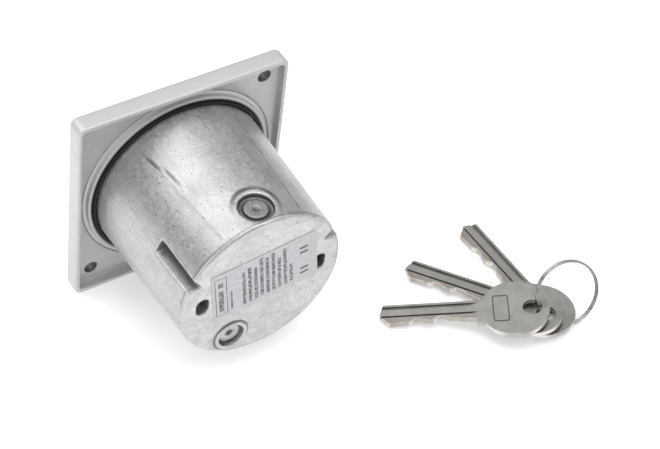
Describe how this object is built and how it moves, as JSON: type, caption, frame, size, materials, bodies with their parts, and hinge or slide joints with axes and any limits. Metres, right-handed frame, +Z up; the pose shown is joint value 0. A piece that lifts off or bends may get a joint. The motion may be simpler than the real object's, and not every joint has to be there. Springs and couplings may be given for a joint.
{
  "type": "key switch with profile cylinder",
  "caption": "Flush-mounted key switch: square plate, round cast housing behind it, half profile cylinder with cam and microswitches, and loose keys on a split ring.",
  "frame": {"origin": "on the lock's axis, in the plane of the plate's rear rim, which is the wall's surface", "axes": "+Y into the wall along the lock's axis, +Z up with the lock upright in use, +X to the right seen from the front"},
  "size_m": [0.1514, 0.0999, 0.075],
  "materials": {
    "plate_paint": "satin silver-grey paint on a die casting",
    "raw_casting": "raw die casting, mottled grey with flow marks",
    "seal_rubber": "black moulded rubber",
    "label_film": null,
    "rosette_nickel": "brushed nickel",
    "key_nickel": "satin nickel plating with wear",
    "ring_steel": "polished nickel-plated spring steel",
    "brass": "machined brass",
    "steel": "zinc-plated steel",
    "switch_plastic": "dark moulded thermoset",
    "frame_plastic": "ivory moulded nylon"
  },
  "bodies": {
    "lock_case": {"front_plate": "plate_paint", "plate_seal": "seal_rubber", "front_rosette": "rosette_nickel", "plate_screw_1": "steel", "plate_screw_2": "steel", "plate_screw_3": "steel", "plate_screw_4": "steel", "body_housing": "raw_casting", "inspection_label": "label_film", "cylinder_housing": "key_nickel", "cylinder_screw": "steel", "driver_pin_1": "steel", "driver_pin_2": "steel", "driver_pin_3": "steel", "driver_pin_4": "steel", "driver_pin_5": "steel", "pin_spring_1": "steel", "pin_spring_2": "steel", "pin_spring_3": "steel", "pin_spring_4": "steel", "pin_spring_5": "steel", "pin_cover_strip": "brass", "return_spring": "steel", "switch_frame": "frame_plastic", "frame_screw_left": "steel", "frame_screw_right": "steel", "microswitch_left": "switch_plastic", "microswitch_right": "switch_plastic", "terminal_left_1": "brass", "terminal_left_2": "brass", "terminal_left_3": "brass", "terminal_right_1": "brass", "terminal_right_2": "brass", "terminal_right_3": "brass", "switch_screw_lower": "steel", "switch_screw_upper": "steel", "switch_nut_lower": "steel", "switch_nut_upper": "steel"},
    "key_rotor": {"plug": "key_nickel", "key_pin_1": "brass", "key_pin_2": "brass", "key_pin_3": "brass", "key_pin_4": "brass", "key_pin_5": "brass", "cam": "steel", "cam_circlip": "steel"},
    "slider": {"switch_slider": "frame_plastic"},
    "plunger_left": {"switch_plunger_left": "frame_plastic"},
    "plunger_right": {"switch_plunger_right": "frame_plastic"},
    "ring": {"key_ring": "ring_steel"},
    "front_key": {"key_front": "key_nickel"},
    "middle_key": {"key_middle": "key_nickel"},
    "back_key": {"key_back": "key_nickel"}
  },
  "joints": [
    {"name": "plug_turn", "type": "hinge", "parent": "lock_case", "child": "key_rotor", "pos_m": [0, 0, 0], "axis": [0, 1, 0], "range_deg": [-25, 25], "stiffness_Nm_per_rad": 0.02},
    {"name": "slider_travel", "type": "slide", "parent": "lock_case", "child": "slider", "axis": [1, 0, 0], "range_m": [-0.0047, 0.0047]},
    {"name": "plunger_right_travel", "type": "slide", "parent": "lock_case", "child": "plunger_right", "axis": [0, 1, 0], "range_m": [-0.0013, 0.0013]},
    {"name": "plunger_left_travel", "type": "slide", "parent": "lock_case", "child": "plunger_left", "axis": [0, 1, 0], "range_m": [-0.0013, 0.0013]},
    {"name": "key_set_lift", "type": "slide", "parent": "lock_case", "child": "ring", "axis": [0, 0, 1], "range_m": [0, 0.03]},
    {"name": "front_key_swing", "type": "hinge", "parent": "ring", "child": "front_key", "pos_m": [-0.08955, 0.07965, -0.0287], "axis": [0, 0, 1], "range_deg": [-3, 10]},
    {"name": "middle_key_swing", "type": "hinge", "parent": "ring", "child": "middle_key", "pos_m": [-0.09355, 0.08257, -0.0312], "axis": [0, 0, 1], "range_deg": [-3, 3]},
    {"name": "back_key_swing", "type": "hinge", "parent": "ring", "child": "back_key", "pos_m": [-0.0952, 0.08417, -0.0342], "axis": [0, 0, 1], "range_deg": [-10, 3]}
  ],
  "couplings": [
    {"joint": "slider_travel", "follows": "plug_turn", "m_per_rad": 0.0105},
    {"joint": "plunger_right_travel", "follows": "plug_turn", "m_per_rad": 0.0028875},
    {"joint": "plunger_left_travel", "follows": "plug_turn", "m_per_rad": -0.0028875}
  ]
}
